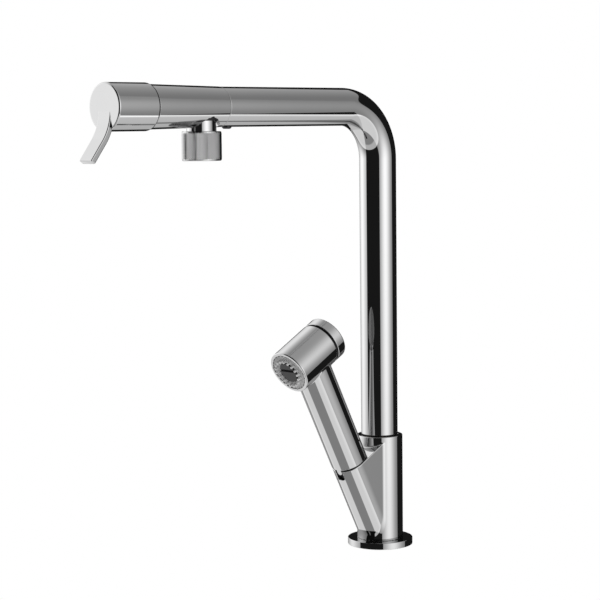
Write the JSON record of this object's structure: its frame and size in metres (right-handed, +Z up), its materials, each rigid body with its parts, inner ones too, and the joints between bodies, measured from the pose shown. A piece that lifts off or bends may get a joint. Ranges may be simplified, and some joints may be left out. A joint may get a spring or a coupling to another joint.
{
  "type": "pull-out kitchen faucet",
  "caption": "Deck-mounted kitchen faucet with a swivelling right-angle spout, a turning end lever, a turning nozzle and a hand spray that pulls out of an inclined holster.",
  "frame": {"origin": "centre of the base flange's underside, on the deck's surface", "axes": "+Z up along the column, the spout's arm and the holster point towards -Y, +X is the side the lever's blade swings to when it opens"},
  "size_m": [0.05, 0.3055, 0.4309],
  "materials": {
    "chrome": "polished",
    "steel": "satin",
    "dark_screw": "blackened",
    "brass": "machined",
    "copper": null,
    "black_plastic": "moulded",
    "white_plastic": "moulded",
    "grey_plastic": "moulded",
    "rubber": "matte",
    "silicone": "soft, grey",
    "ceramic": null
  },
  "bodies": {
    "base": {"base_flange": "chrome", "column_body": "chrome", "deck_gasket": "rubber", "mounting_shank": "brass", "rubber_washer": "rubber", "clamp_washer": "steel", "mounting_nut": "brass", "upper_bearing_ring": "black_plastic", "lower_bearing_ring": "black_plastic", "swivel_stop_screw": "steel", "holster_bush": "black_plastic"},
    "spout": {"spout_tube": "chrome", "spout_spigot": "brass", "outlet_body": "chrome", "outlet_o_rings": "rubber", "fixing_screw": "dark_screw", "cold_feed_tube": "copper", "hot_feed_tube": "copper", "spray_feed_tube": "copper", "cold_nipple": "brass", "hot_nipple": "brass", "spray_nipple": "brass", "cartridge_housing": "white_plastic", "cartridge_seals": "rubber", "fixed_ceramic_disc": "ceramic", "cartridge_nut": "brass", "nozzle_bearing": "black_plastic"},
    "lever": {"lever": "chrome", "cartridge_spindle": "steel", "moving_ceramic_disc": "ceramic", "lever_screw": "steel"},
    "nozzle": {"nozzle_spindle": "chrome", "diverter_seal": "rubber", "nozzle_collar": "chrome", "aerator_insert": "grey_plastic", "aerator_screen": "steel", "aerator_gasket": "rubber"},
    "handset": {"handset_body": "chrome", "handset_tail": "black_plastic", "seat_ring": "rubber", "locating_lug": "chrome", "check_valve": "grey_plastic", "hose_nipple": "brass", "hose_nut": "brass", "waterway": "white_plastic", "valve_block": "white_plastic", "diffuser": "white_plastic", "face_seal": "rubber", "spray_plate": "silicone", "centre_disc": "black_plastic"},
    "button": {"button_cap": "chrome", "button_skirt": "black_plastic", "button_stem": "steel", "valve_seal": "rubber", "button_spring": "steel"}
  },
  "joints": [
    {"name": "spout_swivel", "type": "hinge", "parent": "base", "child": "spout", "pos_m": [0, 0, 0.08], "axis": [0, 0, 1], "range_deg": [-75, 75]},
    {"name": "lever_turn", "type": "hinge", "parent": "spout", "child": "lever", "pos_m": [0, -0.2462, 0.3366], "axis": [0, -1, 0], "range_deg": [0, 100]},
    {"name": "nozzle_turn", "type": "hinge", "parent": "spout", "child": "nozzle", "pos_m": [0, -0.1787, 0.31], "axis": [0, 0, 1], "range_deg": [0, 90]},
    {"name": "handset_pull", "type": "slide", "parent": "base", "child": "handset", "axis": [0, -0.4633, 0.8862], "range_m": [0, 0.11]},
    {"name": "spray_button", "type": "slide", "parent": "handset", "child": "button", "axis": [0, -0.8763, -0.4818], "range_m": [0, 0.0015], "stiffness_N_per_m": 1000, "springref_m": -0.004, "deforming": ["button_spring"]}
  ]
}
